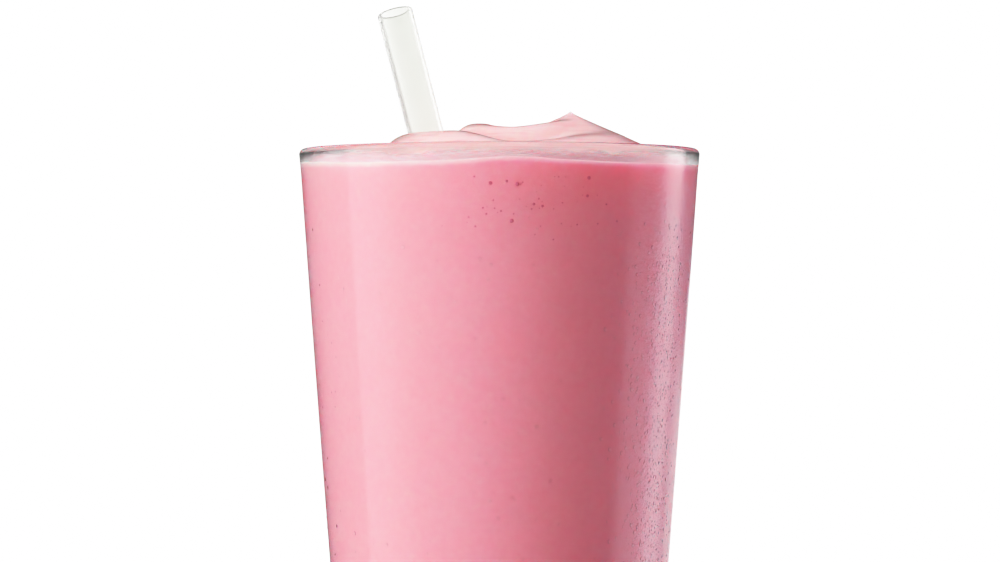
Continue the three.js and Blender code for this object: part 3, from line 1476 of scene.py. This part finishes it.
@dataclass(frozen=True)
class Condensation:
    """Fine drops on the outside of the glass, thick on the viewer's right and thin elsewhere."""

    glass: Tumbler
    low: float = 24.0
    high: float = 144.0
    fade: float = 18.0
    thick_azimuth: float = 58.0
    thick_spread: float = 12.0
    thin_share: float = 0.02
    per_square_mm: float = 1.2
    closest: float = 0.55
    smallest: float = 0.18
    largest: float = 0.44
    flatness: float = 0.15
    gap: float = 0.01
    seed: int = 3
    segments: int = 120
    rows: int = 40
    finish: Finish = Water("condensed water")

    def build(self) -> Any:
        """Lay a skin over the glass that says how thick the drops are, and scatter them on it.

        Returns:
            The drops, as one piece.
        """
        heights = np.linspace(self.low, self.high, self.rows + 1)
        azimuths = np.linspace(0, 360, self.segments, endpoint=False)
        height, azimuth = (values.ravel() for values in np.meshgrid(heights, azimuths, indexing="ij"))
        turn = np.radians(azimuth)
        radius = self.glass.outer(height) + self.gap
        points = np.column_stack((radius * np.sin(turn), -radius * np.cos(turn), height))
        faces = []
        for low in range(0, self.rows * self.segments, self.segments):
            faces += round_band(low, low + self.segments, self.segments)
        made = mesh_object("condensation_drops", points, faces)
        away = (azimuth - self.thick_azimuth + 180) % 360 - 180
        thick = np.exp(-((away / self.thick_spread) ** 2))
        ends = smoothstep(height, self.low, self.low + self.fade)
        ends = ends * (1 - smoothstep(height, self.high - self.fade, self.high))
        set_mark(made, Mark.DENSITY, (self.thin_share + (1 - self.thin_share) * thick) * ends)
        scattered_shape().apply(
            made,
            {
                "Density": self.per_square_mm / MM**2,
                "Closest": self.closest * MM,
                "Smallest": self.smallest * MM,
                "Largest": self.largest * MM,
                "Flatness": self.flatness,
                "Seed": self.seed,
                "Material": self.finish.material(),
            },
        )
        return add_to(made)


def add_to(piece: Any) -> Any:
    """Let a piece that the model doesn't have ride on the body.

    Args:
        piece: The piece's object.

    Returns:
        The same object.
    """
    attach(piece, BODY)
    log.info("%s added: %d faces", piece.name, len(piece.data.polygons))
    return piece


def stand_for(piece: Any, node: Node) -> Any:
    """Let a piece ride on the body and replace a node of the model, which is hidden.

    Args:
        piece: The piece's object.
        node: The node.

    Returns:
        The same object.
    """
    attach(piece, BODY)
    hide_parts(node.value)
    log.info("%s stands for %s: %d faces", piece.name, node.value, len(piece.data.polygons))
    return piece


# Studio


def upright_sheet(name: str, half_width: float, low: float, high: float, finish: Finish) -> Any:
    """Make a plain upright sheet about its object's origin.

    Args:
        name: Name of the object.
        half_width: Half its width, in millimetres.
        low: Where its lower edge is.
        high: Where its upper edge is.
        finish: What it is made of.

    Returns:
        The sheet, which neither the camera sees nor anything is lit or shaded by.
    """
    corners = [(-half_width, low, 0), (half_width, low, 0), (half_width, high, 0), (-half_width, high, 0)]
    made = mesh_object(name, np.array(corners), [(0, 1, 2, 3)])
    made.data.materials.append(finish.material())
    made.visible_camera = False
    made.visible_diffuse = False
    made.visible_shadow = False
    return made


@dataclass(frozen=True)
class Softbox:
    """A square lamp that lights the drink from a direction and that nothing mirrors."""

    name: str
    azimuth: float
    elevation: float
    power: float
    colour: str = "#ffffff"
    distance: float = 1.8
    side: float = 1.05

    def build(self, target: Vector) -> Any:
        """Make the lamp, seen neither by the camera nor in the glass.

        Args:
            target: The point that it shines at.

        Returns:
            The lamp.
        """
        lamp = bpy.data.lights.new(self.name, "AREA")
        lamp.shape = "SQUARE"
        lamp.size = self.side
        lamp.energy = self.power
        lamp.color = linear(self.colour)[:3]
        made = bpy.data.objects.new(self.name, lamp)
        made.location = target + direction(self.azimuth, self.elevation) * self.distance
        made.rotation_euler = (made.location - target).to_track_quat("Z", "Y").to_euler()
        made.visible_camera = False
        made.visible_glossy = False
        made.visible_transmission = False
        bpy.context.scene.collection.objects.link(made)
        return made


@dataclass(frozen=True)
class Cloth:
    """An upright lit cloth that only reflections show, for the bands of light on the glass."""

    name: str
    azimuth: float
    distance: float
    half_width: float
    top: float
    height: float
    strength: float
    fade_left: float = 0.0
    fade_right: float = 0.0

    def build(self, target: Vector) -> Any:
        """Make the cloth, with its top at a height above the floor.

        Args:
            target: The point that it faces.

        Returns:
            The cloth.
        """
        top = (self.top - target.z) / MM
        finish = LitCloth(self.name, self.strength, self.half_width, self.fade_left, self.fade_right)
        made = upright_sheet(self.name, self.half_width / MM, top - self.height / MM, top, finish)
        made.location = target + direction(self.azimuth, 0) * self.distance
        made.rotation_euler = (target - made.location).to_track_quat("Z", "Y").to_euler()
        made.visible_transmission = False
        return made


@dataclass(frozen=True)
class Card:
    """A black card on the floor that only shows through clear glass, for the rim's dark edges."""

    name: str
    azimuth: float
    distance: float
    half_width: float
    height: float

    def build(self) -> Any:
        """Make the card, facing the drink.

        Returns:
            The card.
        """
        made = upright_sheet(self.name, self.half_width / MM, 0, self.height, BlackFelt("black felt"))
        made.location = direction(self.azimuth, 0) * self.distance
        made.rotation_euler = (-made.location).to_track_quat("Z", "Y").to_euler()
        made.visible_glossy = False
        return made


@dataclass(frozen=True)
class Studio:
    """White backdrop, pale floor, soft lamps and the lit cloths that the glass mirrors."""

    target_height: float = 110.0
    room_light: float = 0.155
    backdrop_light: float = 1.0
    floor_radius: float = 3.0
    floor_drop: float = 0.3
    floor_corners: int = 96
    lamps: tuple[Softbox, ...] = (
        Softbox("low key on the left", -55, 5, 19.6),
        Softbox("high key on the left", -50, 35, 11.0),
        Softbox("fill from the right", 100, 35, 10.4, COOL),
        Softbox("back light on the right", 150, 55, 6.0),
        Softbox("top light", 20, 80, 4.0),
        Softbox("low fill on the right", 120, 5, 1.0, COOL),
    )
    cloths: tuple[Cloth, ...] = (
        Cloth("band on the left", -73, 1.0, 0.466, 0.81, 1.4, 0.85, fade_left=0.65, fade_right=0.05),
        Cloth("panel on the right", 98, 1.0, 0.36, 0.08, 0.8, 1.15, 0.15, 0.15),
        Cloth("strip on the right", 121, 0.95, 0.25, 0.6, 1.4, 1.65, 0.15, 0.15),
        Cloth("low strip on the right", 150, 0.95, 0.22, 0.09, 0.8, 0.6, 0.1),
        Cloth("backdrop's reflection", 174, 1.2, 0.25, 0.14, 0.6, 1.1, fade_right=0.1),
    )
    dark_card: Card = Card("dark card behind", 180, 1.2, 1.6, 136.0)

    def build(self) -> None:
        """Make the world, the floor, the lamps and the cloths."""
        self.build_world()
        self.build_floor()
        target = Vector((0, 0, self.target_height * MM))
        for light in (*self.lamps, *self.cloths):
            light.build(target)
        self.dark_card.build()

    def build_world(self) -> None:
        """Make a world that is white seen straight or through glass, and otherwise nearly dark."""
        world = bpy.data.worlds.new("white studio")
        world.use_nodes = True
        world.node_tree.nodes.clear()
        add = partial(add_node, world.node_tree)
        room = add("ShaderNodeBackground", {"Color": linear("#ffffff"), "Strength": self.room_light})
        paths = add("ShaderNodeLightPath")
        shown = room[0]
        for kind, strength in ((Ray.TRANSMISSION, self.backdrop_light), (Ray.CAMERA, 1.0)):
            white = add("ShaderNodeBackground", {"Color": linear("#ffffff"), "Strength": strength})
            mix = add("ShaderNodeMixShader", {0: paths[kind.value], 1: shown, 2: white[0]})
            shown = mix[0]
        add("ShaderNodeOutputWorld", {"Surface": shown})
        bpy.context.scene.world = world

    def build_floor(self) -> None:
        """Lay the pale floor just under the glass, which mirrors the cloths instead of it."""
        angles = np.linspace(0, 2 * math.pi, self.floor_corners, endpoint=False)
        radius = self.floor_radius / MM
        level = np.full(self.floor_corners, -self.floor_drop)
        points = np.column_stack((radius * np.cos(angles), radius * np.sin(angles), level))
        made = mesh_object("floor", points, [tuple(range(self.floor_corners))])
        made.data.materials.append(PaleFloor("matt white paint").material())
        made.visible_glossy = False


@dataclass(frozen=True)
class Viewpoint:
    """The camera: a long lens a little below the rim, looking slightly up."""

    distance: float = 1600.0
    height: float = 94.0
    aim_height: float = 126.85
    side: float = 0.13
    mm_per_pixel: float = 0.2208
    sensor_width: float = 36.0
    clip: tuple[float, float] = (0.05, 50.0)

    def build(self) -> Any:
        """Make the camera and make it the scene's.

        Returns:
            The camera.
        """
        camera = bpy.data.cameras.new("camera")
        made = bpy.data.objects.new("camera", camera)
        place = Vector((self.side, -self.distance, self.height)) * MM
        aim = Vector((self.side, 0, self.aim_height)) * MM
        made.location = place
        made.rotation_euler = (place - aim).to_track_quat("Z", "Y").to_euler()
        camera.sensor_width = self.sensor_width
        frame_width = self.mm_per_pixel * PICTURE_WIDTH * MM
        camera.lens = self.sensor_width * (aim - place).length / frame_width
        camera.clip_start, camera.clip_end = self.clip
        bpy.context.scene.collection.objects.link(made)
        bpy.context.scene.camera = made
        return made


# How bright each light level comes out, from black to the backdrop's white. Shade is held down and
# bright parts roll off, as in a studio photograph.
TONES = ((0.0, 0.0), (0.05, 0.02), (0.15, 0.1), (0.4, 0.54), (0.7, 0.9), (1.0, 1.0))

# Number of the curve that red, green and blue share.
SHARED_CURVE = 3


def set_colour_and_light_paths() -> None:
    """Choose how light becomes colour and how often it may bounce."""
    scene = bpy.context.scene
    view = scene.view_settings
    view.view_transform = "Standard"
    view.look = "None"
    view.use_curve_mapping = True
    tones = view.curve_mapping.curves[SHARED_CURVE].points
    for light, shown in TONES[1:-1]:
        tones.new(light, shown)
    view.curve_mapping.update()
    scene.cycles.use_denoising = True
    scene.cycles.max_bounces = BOUNCES
    scene.cycles.transmission_bounces = CLEAR_BOUNCES
    scene.cycles.transparent_max_bounces = BOUNCES
    scene.cycles.caustics_reflective = False
    scene.cycles.caustics_refractive = False


def main() -> None:
    """Build the drink in its studio."""
    logging.basicConfig(level=logging.INFO, format="%(name)s: %(message)s")
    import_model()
    Viewpoint().build()
    set_colour_and_light_paths()
    Studio().build()
    glass = Tumbler()
    straw = Straw()
    glass.build()
    straw.build()
    shake = Shake(glass, straw)
    shake.build()
    Smear(glass, shake).build()
    Bubbles(glass, shake.bite).build()
    Condensation(glass).build()


if __name__ == "__main__":
    main()
